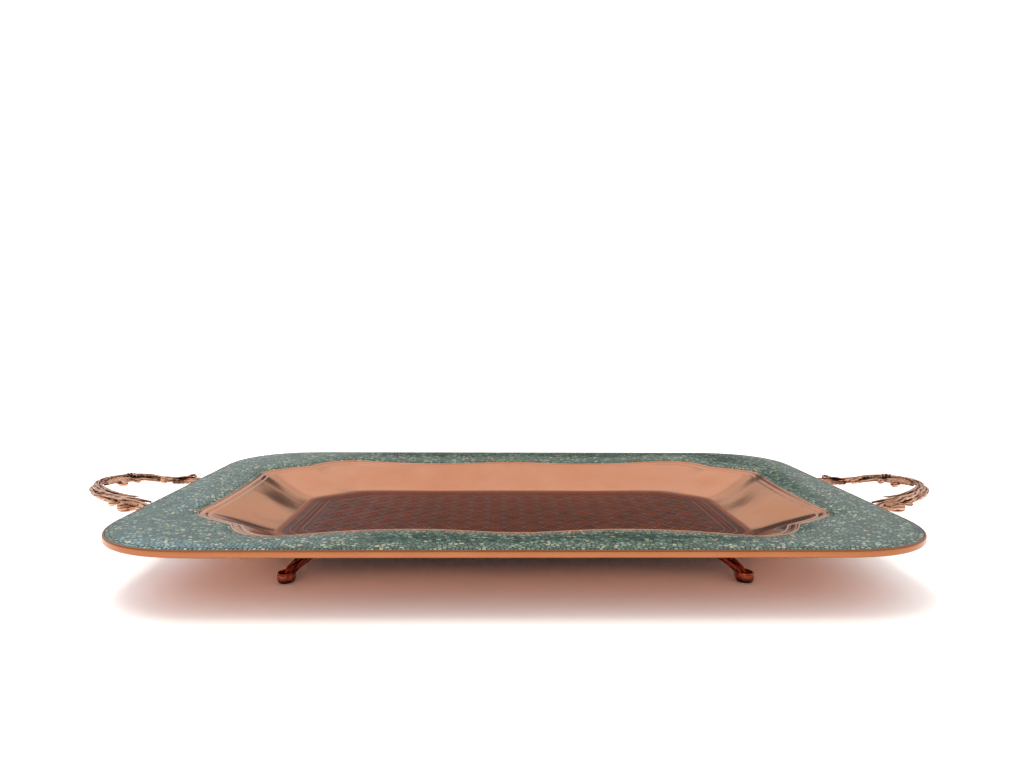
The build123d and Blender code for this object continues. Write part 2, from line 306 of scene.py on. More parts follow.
def wall_height(share):
    """Top of the copper wall, from the floor (0) to the mouth (1), with a chased crease below the mouth."""
    rise = flange_height(1) - SEAT_LIP - FLOOR_TOP
    crease = CREASE_DEPTH * math.exp(-((share - CREASE_SHARE) / CREASE_SPREAD) ** 2)
    return FLOOR_TOP + rise * (1 - (1 - share ** WALL_FOOT) ** WALL_SHOULDER) - crease


def ring_at(first, second, share, height):
    """A ring of points between two outlines, at one height, in metres."""
    flat = first + (second - first) * share
    return np.column_stack([flat, np.full(len(flat), height)]) * MM


def ring_faces(count, around, closed=False):
    """Quads between each ring and the next."""
    faces = []
    for i in range(count if closed else count - 1):
        low, high = i * around, (i + 1) % count * around
        for j in range(around):
            k = (j + 1) % around
            faces.append((low + j, low + k, high + k, high + j))
    return faces


def set_ramp(node, stops):
    """Gives a colour ramp its stops, as (place, colour) pairs."""
    points = node.color_ramp.elements
    while len(points) < len(stops):
        points.new(0.5)
    for point, (at, colour) in zip(points, stops):
        point.position = at
        point.color = linear(colour)


CHASED_LEVEL = FLOOR_TOP + 0.45
SCRATCH_SPACING = 1.5


def every(size):
    """The scale of a pattern that comes round about every so many millimetres."""
    return 1 / (size * MM)


def polished_copper():
    """Raised copper: the wall is buffed by hand to a pale salmon mirror with the faint waver of the hammer;
    the floor is toned red-brown, rubbed bright on its raised lines, with the scraper's crossed scratches,
    and its red-brown is darkened further as painted shade for the dark things it would mirror."""
    material, tree = new_material("hand-polished copper")
    place = add(tree, "ShaderNodeTexCoord")
    parts = add(tree, "ShaderNodeSeparateXYZ", {0: (place, "Object")})
    floor = add(tree, "ShaderNodeMapRange", {
        "Value": (parts, "Z"), "From Min": CHASED_LEVEL * MM, "From Max": (CHASED_LEVEL + 0.5) * MM,
        "To Min": 1.0, "To Max": 0.0})
    waver = add(tree, "ShaderNodeTexNoise", {
        "Vector": (place, "Object"), "Scale": every(22), "Detail": 2.0})
    grit = add(tree, "ShaderNodeTexNoise", {
        "Vector": (place, "Object"), "Scale": every(1.2), "Detail": 3.0})
    stain = add(tree, "ShaderNodeTexNoise", {
        "Vector": (place, "Object"), "Scale": every(14), "Detail": 5.0})
    buffed = add(tree, "ShaderNodeMix", {
        "Factor": waver, "A": linear("DC9370"), "B": linear("E9A886")}, data_type="RGBA")
    # the floor's red-brown is partly its toning and partly painted shade, darker to stand in for dark
    # things mirrored in it
    toned = add(tree, "ShaderNodeValToRGB", {"Fac": stain})
    set_ramp(toned, [(0.3, "451609"), (0.5, "591F10"), (0.72, "702C1B")])
    crest = add(tree, "ShaderNodeMapRange", {
        "Value": (parts, "Z"), "From Min": (FLOOR_TOP + 0.06) * MM, "From Max": (FLOOR_TOP + 0.2) * MM})
    wear_and_painted_shade = add(tree, "ShaderNodeMix", {
        "Factor": crest, "A": toned, "B": linear("A55A3C")}, data_type="RGBA")
    tone = add(tree, "ShaderNodeMix", {"Factor": floor, "A": buffed, "B": wear_and_painted_shade}, data_type="RGBA")

    # crossed scratches about 1.5 mm apart, coarse enough to show
    scratches = None
    for slant in (0.6, -0.75):
        turned_to = add(tree, "ShaderNodeMapping", {"Vector": (place, "Object"), "Rotation": (0, 0, slant)})
        lines = add(tree, "ShaderNodeTexWave", {
            "Vector": turned_to, "Scale": every(2 * SCRATCH_SPACING), "Distortion": 3.0, "Detail": 2.0,
            "Detail Scale": 0.6})
        scratches = lines if scratches is None else add(
            tree, "ShaderNodeMath", {0: scratches, 1: lines}, operation="MULTIPLY")
    smooth_rough = add(tree, "ShaderNodeMapRange", {"Value": grit, "To Min": 0.1, "To Max": 0.2})
    floor_rough = add(tree, "ShaderNodeMapRange", {"Value": grit, "To Min": 0.26, "To Max": 0.4})
    rough = add(tree, "ShaderNodeMix", {
        "Factor": floor, "A": smooth_rough, "B": floor_rough}, data_type="FLOAT")
    scored = add(tree, "ShaderNodeMath", {0: scratches, 1: floor}, operation="MULTIPLY")
    relief = add(tree, "ShaderNodeMath", {0: waver, 1: scored}, operation="ADD")
    bump = add(tree, "ShaderNodeBump", {"Height": relief, "Strength": 0.3, "Distance": 0.0006})
    shader = add(tree, "ShaderNodeBsdfPrincipled", {
        "Base Color": tone, "Metallic": 1.0, "Roughness": rough, "Normal": bump})
    add(tree, "ShaderNodeOutputMaterial", {"Surface": shader})
    return material


def tray_sheet():
    """The sheet's upper face as rings from the outer edge to the floor, thickened downwards. The flange is
    let down below the well's lip to make a seat for the mosaic."""
    depth = CHIP_THICKNESS + LAC_THICKNESS
    rings = [ring_at(OUTER, MOUTH, s, flange_height(s) - depth) for s in np.linspace(0, 1, FLANGE_RINGS)]
    down = np.concatenate([np.linspace(1, LIP_FOOT, LIP_RINGS), np.linspace(LIP_FOOT, 0, WALL_RINGS)[1:]])
    midway = (FLOOR + MOUTH) / 2
    run = np.cumsum(np.linalg.norm(midway - np.roll(midway, 1, axis=0), axis=1))
    flutes = FLUTE_DEPTH * MM * np.cos(2 * np.pi * FLUTE_COUNT * run / run[-1])
    for s in down:
        ring = ring_at(FLOOR, MOUTH, s, wall_height(s))
        ring[:, 2] += flutes * max(0.0, math.sin(math.pi * min(s / CREASE_SHARE, 1.0))) ** 2
        rings.append(ring)
    rings.append(ring_at(FLOOR * FLOOR_RING, 0, 0, FLOOR_TOP))
    around = len(OUTER)
    faces = ring_faces(len(rings), around)
    first = (len(rings) - 1) * around
    faces.append(tuple(range(first, first + around)))
    piece = mesh_piece("copper_tray_sheet", np.concatenate(rings), faces, polished_copper())
    thickness = piece.modifiers.new("sheet", "SOLIDIFY")
    thickness.thickness = SHEET * MM
    thickness.offset = -1.0
    return piece


pan = tray_sheet()
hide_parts("tray_pan")
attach(pan, "root")


# ------------------------------------------------------------------ edge band
# A strip of copper is folded round the flange and closed at the rear. It is left plain and satin, and
# its rounded face is the deep orange line that frames the tray.

BAND_ROUNDING = 0.9
BAND_HEIGHT = (band_box[1].z - band_box[0].z) / MM


def satin_copper():
    """Rolled copper strip rubbed down with fine wool: deeper orange, softer reflections along the strip."""
    material, tree = new_material("satin rolled copper")
    place = add(tree, "ShaderNodeTexCoord")
    cloud = add(tree, "ShaderNodeTexNoise", {
        "Vector": (place, "Object"), "Scale": every(30), "Detail": 2.0})
    tone = add(tree, "ShaderNodeMix", {
        "Factor": cloud, "A": linear("985A3A"), "B": linear("A66E4A")}, data_type="RGBA")
    shader = add(tree, "ShaderNodeBsdfPrincipled", {"Base Color": tone, "Metallic": 1.0, "Roughness": 0.3})
    add(tree, "ShaderNodeOutputMaterial", {"Surface": shader})
    return material


def band_profile():
    """Inset and height round the strip's section, from its inner foot round its outer face."""
    top, bottom, r = EDGE_HEIGHT, EDGE_HEIGHT - BAND_HEIGHT, BAND_ROUNDING
    section = [(BAND_WALL, bottom)]
    for angle in np.radians(np.linspace(-90, 0, 6)):
        section.append((r - r * math.cos(angle), bottom + r + r * math.sin(angle)))
    for angle in np.radians(np.linspace(0, 90, 6)):
        section.append((r - r * math.cos(angle), top - r + r * math.sin(angle)))
    section.append((BAND_WALL, top))
    return section


band_rings = []
for inset, height in band_profile():
    band_rings.append(ring_at(trace(outer_quarter(inset)), 0, 0, height))
band = mesh_piece("edge_band_strip", np.concatenate(band_rings),
                  ring_faces(len(band_rings), len(OUTER), closed=True), satin_copper())
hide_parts("edge_band")
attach(band, "root")


# ------------------------------------------------------------------ well fence
# A copper wire is soldered round the mouth of the well. It keeps the lac and the chips in while they
# are ground flat, and is left as a thin bright line between the mosaic and the polished wall.

FENCE_PROUD = 0.2
FENCE_ROUNDING = 0.3
FENCE_FOOT = CHIP_THICKNESS + LAC_THICKNESS


def fence_wire(material):
    """The wire's section carried round the mouth: foot, rounded head, foot."""
    section = [(1 - FENCE_SHARE, -FENCE_FOOT), (1 - FENCE_SHARE, FENCE_PROUD - FENCE_ROUNDING),
               (1 - FENCE_SHARE * 0.8, FENCE_PROUD), (1 - FENCE_SHARE * 0.25, FENCE_PROUD),
               (1.0, FENCE_PROUD - FENCE_ROUNDING), (1.0, -FENCE_FOOT)]
    rings = [ring_at(OUTER, MOUTH, share, flange_height(share) + above) for share, above in section]
    return mesh_piece("well_fence_wire", np.concatenate(rings),
                      ring_faces(len(rings), len(OUTER), closed=True), material)


fence = fence_wire(pan.data.materials[0])
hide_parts("well_fence")
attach(fence, "root")


# ------------------------------------------------------------------ lac bed
# Black lac is melted on to the flange and the chips are pressed into it while it is soft. It fills the
# gaps between them and is polished with them, so it shows as a fine dark net.

LAC_BELOW_CHIPS = 0.05


def black_lac():
    """Polished black lac, a natural resin: near black with a soft wax shine."""
    material, tree = new_material("polished black lac")
    place = add(tree, "ShaderNodeTexCoord")
    dust = add(tree, "ShaderNodeTexNoise", {"Vector": (place, "Object"), "Scale": every(4), "Detail": 3.0})
    tone = add(tree, "ShaderNodeMix", {
        "Factor": dust, "A": linear("070B0A"), "B": linear("151C19")}, data_type="RGBA")
    shader = add(tree, "ShaderNodeBsdfPrincipled", {"Base Color": tone, "Roughness": 0.3, "IOR": 1.52})
    add(tree, "ShaderNodeOutputMaterial", {"Surface": shader})
    return material


def lac_layer():
    """A closed layer between the band and the fence, from the copper up to just under the chips' tops."""
    shares = np.linspace(0, 1 - FENCE_SHARE, FLANGE_RINGS)
    rings = [ring_at(OUTER, MOUTH, s, flange_height(s) - LAC_BELOW_CHIPS) for s in shares]
    rings += [ring_at(OUTER, MOUTH, s, flange_height(s) - FENCE_FOOT) for s in shares[::-1]]
    return mesh_piece("black_lac_bed", np.concatenate(rings),
                      ring_faces(len(rings), len(OUTER), closed=True), black_lac())


lac = lac_layer()
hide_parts("lac_bed")
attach(lac, "root")


# ------------------------------------------------------------------ turquoise mosaic
# Thousands of turquoise chips, broken to about 2 mm and sorted by eye, are pressed into the lac edge to
# edge, the straightest ones along the borders. They are then ground level and polished with oil.

CHIP_SPACING = 2.2
BORDER_DEPTH = 1.06
CHIP_SEED = 11
CHIP_GAP = 0.55
CHIP_SINK = 0.5
CHIP_PROUD = LAC_BELOW_CHIPS
CHIP_BEVEL = 0.05
CHIP_LEAN = 0.016
CHIP_TOP_SCALE = 0.82
CHIP_WELD = 0.001
CHIP_TRIES = 340000
CHIP_APART, CHIP_ODDS = [0.74, 0.86, 0.98, 1.12], [0.3, 0.35, 0.23, 0.12]
BORDER_JITTER, BORDER_REACH = 0.22, (0.85, 1.15)
BORDER_CLEAR, FENCE_CLEAR_SHARE = 1.5, 0.036
ABOVE_TRAY = 0.2
CHIP_INPUTS = [("Side", "Int"), ("Gap", "Float"), ("Height", "Float"), ("Bevel", "Float"), ("Seed", "Int"),
               ("Bed", "Object"), ("Mouth Level", "Float"), ("Stone", "Material")]
STONE_COLOURS = [(0.0, "17372D"), (0.3, "27493C"), (0.6, "3C5D4E"), (0.84, "5A7464"),
                 (0.96, "828D76"), (1.0, "948564")]
OUTER_COARSE, MOUTH_COARSE = OUTER[::4], MOUTH[::4]


def inside(points, loop):
    """Which points lie inside a closed outline, by counting the sides crossed."""
    x, y = points[:, 0][:, None], points[:, 1][:, None]
    x0, y0 = loop[:, 0], loop[:, 1]
    x1, y1 = np.roll(x0, -1), np.roll(y0, -1)
    level = np.where(y1 == y0, 1e-9, y1 - y0)
    crossed = ((y0 > y) != (y1 > y)) & (x < (x1 - x0) * (y - y0) / level + x0)
    return crossed.sum(axis=1) % 2 == 1


def border_rows(loop, inwards, rng):
    """Chips in a row along an outline, and their mirror images across it, which give it a clean edge."""
    closed = np.vstack([loop, loop[:1]])
    steps = np.linalg.norm(np.diff(closed, axis=0), axis=1)
    run = np.concatenate([[0], np.cumsum(steps)])
    count = int(run[-1] / CHIP_SPACING)
    at = (np.arange(count) + rng.uniform(-BORDER_JITTER, BORDER_JITTER, count)) * run[-1] / count
    line = np.column_stack([np.interp(at % run[-1], run, closed[:, i]) for i in (0, 1)])
    ahead = np.column_stack([np.interp((at + 0.5) % run[-1], run, closed[:, i]) for i in (0, 1)]) - line
    normal = np.column_stack([-ahead[:, 1], ahead[:, 0]]) * inwards
    normal /= np.linalg.norm(normal, axis=1)[:, None]
    reach = BORDER_DEPTH * rng.uniform(*BORDER_REACH, count)[:, None]
    return line + normal * reach, line - normal * reach


def scatter(rows, rng):
    """Chip centres over the rest of the rim, each kept a chip's width from its neighbours."""
    cell = CHIP_SPACING
    taken = {}
    for p in np.concatenate(rows):
        taken.setdefault((int(p[0] // cell), int(p[1] // cell)), []).append((p[0], p[1], 0.0))
    tries = rng.uniform((-HALF_LENGTH, -HALF_WIDTH), (HALF_LENGTH, HALF_WIDTH), (CHIP_TRIES, 2))
    tries = tries[inside(tries, trace(outer_quarter(BAND_WALL + BORDER_CLEAR), 6))]
    widened = MOUTH_COARSE + (OUTER_COARSE - MOUTH_COARSE) * (FENCE_SHARE + FENCE_CLEAR_SHARE)
    tries = tries[~inside(tries, widened)]
    apart = rng.choice(CHIP_APART, len(tries), p=CHIP_ODDS) * CHIP_SPACING
    kept = []
    for (x, y), gap in zip(tries, apart):
        i, j = int(x // cell), int(y // cell)
        near = [q for a in (-1, 0, 1) for b in (-1, 0, 1) for q in taken.get((i + a, j + b), ())]
        if all((x - u) ** 2 + (y - v) ** 2 > max(gap, g) ** 2 for u, v, g in near):
            taken.setdefault((i, j), []).append((x, y, gap))
            kept.append((x, y))
    return np.array(kept)


def chip_net():
    """A flat net of triangles with one point per chip; side is 1 or 2 for a chip on the left or right."""
    rng = np.random.default_rng(CHIP_SEED)
    outer_row, outer_mirror = border_rows(OUTER, 1, rng)
    fence_line = MOUTH + (OUTER - MOUTH) * FENCE_SHARE
    inner_row, inner_mirror = border_rows(fence_line, -1, rng)
    field = scatter([outer_row, inner_row], rng)
    chips = np.concatenate([outer_row, inner_row, field])
    points = np.concatenate([chips, outer_mirror, inner_mirror])
    net = delaunay_2d_cdt([Vector(p) for p in points], [], [], 0, 1e-6)
    flat = np.array([tuple(p) for p in net[0]])
    origin = np.array([found[0] if found else len(points) for found in net[3]])
    side = np.zeros(len(points) + 1, int)
    side[:len(chips)] = np.where(chips[:, 0] < 0, 1, 2)
    side = side[origin]
    near_chip = np.array([triangle for triangle in net[2] if side[list(triangle)].any()])
    mesh = bpy.data.meshes.new("chip net")
    mesh.from_pydata(np.column_stack([flat * MM, np.full(len(flat), -CHIP_SINK * MM)]), [], near_chip)
    mesh.attributes.new("side", "INT", "POINT").data.foreach_set("value", side)

    # where three cells meet: the centre of the circle through the triangle's points
    a, b, c = (flat[near_chip[:, i]] for i in range(3))
    b, c = b - a, c - a
    square_b, square_c = (b ** 2).sum(axis=1), (c ** 2).sum(axis=1)
    across = 2 * (b[:, 0] * c[:, 1] - b[:, 1] * c[:, 0])
    meeting = np.column_stack([a[:, 0] + (c[:, 1] * square_b - b[:, 1] * square_c) / across,
                               a[:, 1] + (b[:, 0] * square_c - c[:, 0] * square_b) / across,
                               np.full(len(a), -CHIP_SINK)]) * MM
    mesh.attributes.new("meeting", "FLOAT_VECTOR", "FACE").data.foreach_set("vector", meeting.ravel())
    return mesh


def new_setting(name, inputs):
    """An empty Geometry Nodes tree with named inputs, and the node that hands them out."""
    tree = bpy.data.node_groups.new(name, "GeometryNodeTree")
    tree.interface.new_socket("Geometry", in_out="INPUT", socket_type="NodeSocketGeometry")
    for title, kind in inputs:
        tree.interface.new_socket(title, in_out="INPUT", socket_type="NodeSocket" + kind)
    tree.interface.new_socket("Geometry", in_out="OUTPUT", socket_type="NodeSocketGeometry")
    return tree, add(tree, "NodeGroupInput")


def made_by(tree, name, source, values):
    """What a tree makes of a mesh, as a plain mesh piece."""
    piece = bpy.data.objects.new(name, source)
    bpy.context.scene.collection.objects.link(piece)
    setting = piece.modifiers.new("setting", "NODES")
    setting.node_group = tree
    for item in tree.interface.items_tree:
        if item.in_out == "INPUT" and item.name in values:
            setting[item.identifier] = values[item.name]
    seen = piece.evaluated_get(bpy.context.evaluated_depsgraph_get())
    mesh = bpy.data.meshes.new_from_object(seen)
    piece.modifiers.remove(setting)
    piece.data = mesh
    return piece


def chip_tree():
    """Turns the net into closed chips: a cell per point, shrunk by the gap, raised, bevelled, laid down."""
    tree, given = new_setting("chip setting", CHIP_INPUTS)

    # one cell per chip of this side, each on its own
    rough_cells = add(tree, "GeometryNodeDualMesh", {"Mesh": (given, "Geometry")})
    meeting = add(tree, "GeometryNodeInputNamedAttribute", {"Name": "meeting"}, data_type="FLOAT_VECTOR")
    cells = add(tree, "GeometryNodeSetPosition", {"Geometry": rough_cells, "Position": meeting})
    side = add(tree, "GeometryNodeInputNamedAttribute", {"Name": "side"}, data_type="INT")
    other = add(tree, "FunctionNodeCompare", {
        "A": side, "B": (given, "Side")}, data_type="INT", operation="NOT_EQUAL")
    mine = add(tree, "GeometryNodeDeleteGeometry", {"Geometry": cells, "Selection": other}, domain="FACE")
    loose = add(tree, "GeometryNodeSplitEdges", {"Mesh": mine})

    # a colour number, the middle and a slight lean for each chip
    tone = add(tree, "FunctionNodeRandomValue", {"Seed": (given, "Seed")}, data_type="FLOAT")
    toned = add(tree, "GeometryNodeStoreNamedAttribute", {
        "Geometry": loose, "Name": "tone", "Value": tone}, data_type="FLOAT", domain="FACE")
    place = add(tree, "GeometryNodeInputPosition")
    centred = add(tree, "GeometryNodeStoreNamedAttribute", {
        "Geometry": toned, "Name": "middle", "Value": place}, data_type="FLOAT_VECTOR", domain="FACE")
    lean = add(tree, "FunctionNodeRandomValue", {
        "Min": (-CHIP_LEAN, -CHIP_LEAN, 0), "Max": (CHIP_LEAN, CHIP_LEAN, 0), "Seed": (given, "Seed")},
        data_type="FLOAT_VECTOR")
    leaned = add(tree, "GeometryNodeStoreNamedAttribute", {
        "Geometry": centred, "Name": "lean", "Value": lean}, data_type="FLOAT_VECTOR", domain="FACE")

    # shrink by the gap, raise the sides, then the bevel
    area = add(tree, "GeometryNodeInputMeshFaceArea")
    width = add(tree, "ShaderNodeMath", {0: area}, operation="SQRT")
    lost = add(tree, "ShaderNodeMath", {0: (given, "Gap"), 1: width}, operation="DIVIDE")
    kept = add(tree, "ShaderNodeMath", {0: 1.0, 1: lost}, operation="SUBTRACT")
    shrunk = add(tree, "GeometryNodeScaleElements", {"Geometry": leaned, "Scale": kept}, domain="FACE")
    walls = add(tree, "GeometryNodeExtrudeMesh", {
        "Mesh": shrunk, "Offset Scale": (given, "Height")}, mode="FACES")
    rims = add(tree, "GeometryNodeExtrudeMesh", {
        "Mesh": walls, "Selection": (walls, "Top"), "Offset Scale": (given, "Bevel")}, mode="FACES")
    tops = add(tree, "GeometryNodeScaleElements", {
        "Geometry": rims, "Selection": (rims, "Top"), "Scale": CHIP_TOP_SCALE}, domain="FACE")

    # close each chip with an underside that faces down
    under = add(tree, "GeometryNodeFlipFaces", {"Mesh": shrunk})
    both = add(tree, "GeometryNodeJoinGeometry")
    for half in (tops, under):
        tree.links.new(half.outputs[0], both.inputs[0])
    closed = add(tree, "GeometryNodeMergeByDistance", {"Geometry": both, "Distance": CHIP_WELD * MM})

    # lay each point on the bed below it, with the chip's lean; one that juts over the mouth takes its level
    split = add(tree, "ShaderNodeSeparateXYZ", {0: place})
    above = add(tree, "ShaderNodeCombineXYZ", {"X": (split, "X"), "Y": (split, "Y"), "Z": ABOVE_TRAY})
    bed = add(tree, "GeometryNodeObjectInfo", {"Object": (given, "Bed")})
    hit = add(tree, "GeometryNodeRaycast", {
        "Target Geometry": (bed, "Geometry"), "Source Position": above,
        "Ray Direction": (0, 0, -1), "Ray Length": 1.0})
    middle = add(tree, "GeometryNodeInputNamedAttribute", {"Name": "middle"}, data_type="FLOAT_VECTOR")
    tilt = add(tree, "GeometryNodeInputNamedAttribute", {"Name": "lean"}, data_type="FLOAT_VECTOR")
    arm = add(tree, "ShaderNodeVectorMath", {0: place, 1: middle}, operation="SUBTRACT")
    rise = add(tree, "ShaderNodeVectorMath", {0: arm, 1: tilt}, operation="DOT_PRODUCT")
    height = add(tree, "ShaderNodeMath", {0: (split, "Z"), 1: (rise, "Value")}, operation="ADD")
    lift = add(tree, "ShaderNodeCombineXYZ", {"Z": height})
    over_mouth = add(tree, "ShaderNodeCombineXYZ", {
        "X": (split, "X"), "Y": (split, "Y"), "Z": (given, "Mouth Level")})
    ground = add(tree, "GeometryNodeSwitch", {
        "Switch": (hit, "Is Hit"), "False": over_mouth, "True": (hit, "Hit Position")}, input_type="VECTOR")
    laid = add(tree, "ShaderNodeVectorMath", {0: ground, 1: lift}, operation="ADD")
    set_down = add(tree, "GeometryNodeSetPosition", {"Geometry": closed, "Position": laid})
    real = add(tree, "GeometryNodeRealizeInstances", {"Geometry": set_down})
    stone = add(tree, "GeometryNodeSetMaterial", {"Geometry": real, "Material": (given, "Stone")})
    add(tree, "NodeGroupOutput", {"Geometry": stone})
    return tree


def turquoise():
    """Polished turquoise: mostly deep green-blue, some grey-green and a few tan chips, clouded within
    each chip, with a waxy gloss. It is a hydrated phosphate, so its IOR is about 1.62."""
    material, tree = new_material("polished turquoise")
    place = add(tree, "ShaderNodeTexCoord")
    tone = add(tree, "ShaderNodeAttribute", attribute_name="tone")
    stone = add(tree, "ShaderNodeValToRGB", {"Fac": (tone, "Fac")})
    set_ramp(stone, STONE_COLOURS)
    cloud = add(tree, "ShaderNodeTexNoise", {
        "Vector": (place, "Object"), "Scale": every(1.1), "Detail": 3.0})
    clouding = add(tree, "ShaderNodeMapRange", {
        "Value": cloud, "From Min": 0.3, "From Max": 0.7, "To Min": 0.74, "To Max": 1.22})
    colour = add(tree, "ShaderNodeMix", {
        "Factor": 1.0, "A": stone, "B": clouding}, data_type="RGBA", blend_type="MULTIPLY")
    rough = add(tree, "ShaderNodeMapRange", {"Value": cloud, "To Min": 0.05, "To Max": 0.14})
    shader = add(tree, "ShaderNodeBsdfPrincipled", {"Base Color": colour, "Roughness": rough, "IOR": 1.62})
    add(tree, "ShaderNodeOutputMaterial", {"Surface": shader})
    return material


mosaic_tree, mosaic_net, stone = chip_tree(), chip_net(), turquoise()
chip_sizes = {"Gap": CHIP_GAP * MM, "Height": (CHIP_SINK + CHIP_PROUD - CHIP_BEVEL) * MM,
              "Bevel": CHIP_BEVEL * MM, "Seed": CHIP_SEED, "Bed": lac,
              "Mouth Level": (flange_height(1) - LAC_BELOW_CHIPS) * MM, "Stone": stone}
for side, name in ((1, "turquoise_chips_left"), (2, "turquoise_chips_right")):
    chips = made_by(mosaic_tree, name, mosaic_net, {"Side": side, **chip_sizes})
    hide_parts("turquoise_mosaic")
    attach(chips, "root")


# ------------------------------------------------------------------ handles
# Each handle is one copper casting, modelled in wax as a bent branch with side twigs, a wrapped collar,
# leaves, nodules and a bud. It is toned dark, rubbed back, and bolted under the flange by two flat lugs.

ROD_INPUTS = [("Step", "Float"), ("Sides", "Int"), ("Twist", "Float"), ("Waver", "Float"),
              ("Knot Size", "Float"), ("Knots", "Float"), ("Metal", "Material")]
# each rod: its points with the radius at each, its count of grooves, and how deep they are as a share of
# the radius
HANDLE_RODS = [
    # the bow itself, from lug to lug
    ([(206, -47, 30.5, 1), (219, -47, 30.5, 1.2), (224.5, -47, 30.6, 1.3), (228.6, -46.6, 33, 2.2),
      (237, -45, 35, 2.1), (249, -39, 36.2, 2.1), (262, -29, 36.9, 2.2), (276.5, -12, 37.4, 2.4),
      (283.3, 6, 37.8, 2.3), (279, 21, 38, 2.1), (266, 32, 37, 2.1), (254, 39, 33.8, 2.3),
      (242, 44.5, 31.4, 2.6), (231, 47, 30.8, 2.8), (224.5, 47, 30.5, 1.3), (219, 47, 30.5, 1.2),
      (206, 47, 30.5, 1)], 5, 0.3),
    # twigs along the near arm; the upper one ends free over the opening
    ([(279.5, 4, 38.9, 0.7), (274, -11, 39, 1.2), (262.5, -24.6, 38.5, 1.3), (250.5, -33.2, 37.8, 1.1),
      (242.5, -37, 37.6, 0.8), (236.5, -38.6, 37.9, 0.3)], 4, 0.22),
    ([(284.8, 9, 36.8, 0.8), (282.6, -7, 36.2, 1.3), (271, -24, 35.5, 1.5), (258.5, -34.5, 34.6, 1.4),
      (249, -41.5, 33.8, 1.2), (241.5, -46, 33.2, 0.8)], 4, 0.22),
    ([(227, -43, 35.2, 0.7), (237, -41.6, 36.6, 1.1), (248.5, -37.8, 37.2, 1.2), (259, -31.2, 38, 0.8),
      (265, -26, 38.4, 0.4)], 3, 0.22),
    ([(248.4, -41.2, 34, 0.8), (250.4, -42, 33.9, 1.3), (252.6, -42.6, 33.8, 1.3),
      (253.8, -42.9, 33.8, 0.4)], 5, 0.2),
    # twigs along the far arm
    ([(282, 8, 39, 0.7), (277.5, 20, 39.3, 1.1), (266.5, 30.6, 38.4, 1.2), (257.6, 36.5, 36, 1)], 4, 0.22),
    ([(255.5, 38.2, 35.4, 0.8), (247.5, 41.8, 33.4, 1.3), (239, 45.2, 32.6, 1),
      (232, 47, 32.2, 0.5)], 3, 0.22),
    ([(280.5, 6, 36, 0.7), (275, 17, 36.2, 1.2), (264, 29, 35.4, 1.2), (254.5, 36, 32.4, 0.9)], 4, 0.22),
    # the bud on its stalk, and nodules on the inner side
    ([(227, -47.2, 31.8, 1.2), (233.4, -48, 32.8, 1.7), (236.2, -48.5, 33.2, 2.4), (238.4, -49, 33.3, 3.1),
      (241, -49.6, 33.4, 3.2), (243.2, -50.1, 33.3, 2.6), (244.5, -50.4, 33.3, 1.4),
      (244.9, -50.5, 33.3, 0.2)], 9, 0.08),
    ([(257.4, 37, 33.8, 0.4), (255.8, 36.4, 33.8, 1.7), (253.4, 35.6, 33.6, 2.5), (250.8, 35, 33.2, 1.9),
      (249.6, 34.8, 33.1, 0.3)], 6, 0.12),
    ([(275.5, 13, 36.6, 1), (272.4, 12, 36.2, 2.1), (269.4, 11.4, 36, 2.3), (267.6, 11.1, 35.9, 1.5),
      (266.8, 11, 35.8, 0.3)], 6, 0.12),
    ([(269, 23.4, 36.2, 0.8), (266.2, 21.8, 36, 1.7), (263.8, 20.6, 35.8, 1.6),
      (262.6, 20, 35.6, 0.4)], 5, 0.12),
    # the curled tendril at the far end
    ([(230, 48.4, 30.8, 1.7), (235, 50.4, 31, 1.6), (240.2, 53, 31.2, 1.3), (243.4, 55.6, 31.8, 1.2),
      (241.6, 57.2, 33, 1), (238.2, 56.2, 33.4, 0.9), (237.2, 54.2, 32.6, 0.8), (238.8, 53.8, 32.2, 0.4)],
     3, 0.2),
]
HANDLE_TONES = [(0.0, "120706"), (0.3, "4C2A20"), (0.6, "AE765A"), (1.0, "EABC9E")]
COLLAR_TURNS = [((273.4, 25.2, 37.9), 2.1), ((271.9, 26.8, 37.8), 2.2), ((270.4, 28.4, 37.6), 2.1)]
COLLAR_WIRE = 0.75
COLLAR_AXIS = (-0.68, 0.72, -0.06)
# root, tip, the way its face looks, width, how far its tip curls up
HANDLE_LEAVES = [
    ((249, 41, 32.8), (232, 47.5, 32.0), (0.1, 0.3, 1), 8.0, 0.6),
    ((248, 40, 31.0), (231, 43, 31.2), (0, -0.7, 1), 6.5, 0.6),
    ((231, 49.4, 30.6), (243.5, 56, 30.4), (0.2, 0.5, 1), 6.0, 1.8),
    ((282.2, 4, 38.4), (276.5, 20, 38.6), (0.2, 0.1, 1), 5.5, 0.3),
    ((283.2, 10, 36.8), (278.8, 25, 36.8), (1, 0.4, 0.7), 5.5, 0.6),
    ((277.5, 4, 37.6), (269, 20, 37.4), (-0.5, -0.3, 1), 5.0, 0.6),
    ((267, 31, 37.4), (256, 38, 35.2), (-0.2, 0, 1), 5.0, 0.5),
    ((233, -48.6, 34.6), (241.5, -49.8, 36.0), (0, -0.3, 1), 4.0, 0.5),
]
LEAF_ALONG, LEAF_ACROSS = 25, 13
LEAF_THICKNESS = 0.7
LEAF_ARCH, LEAF_CUP = 0.05, 0.16
LEAF_TEETH, LEAF_TOOTH = 7, 0.06
LEAF_VEINS, VEIN_SLANT, VEIN_HEIGHT = 6, 1.6, 0.22
RIB_WIDTH, RIB_HEIGHT = 0.16, 0.3
GROOVE_SHARPNESS = 1.6
LUG_CENTRE, LUG_HALF, LUG_LEVELS = (214.0, 47.0), (11.0, 7.5), (29.0, 32.0)
LUG_HOLE_X, LUG_HOLE_RADIUS, LUG_CHAMFER = 212.0, 1.7, 0.5
LUG_SIDES, LUG_SQUARENESS = 64, 0.5


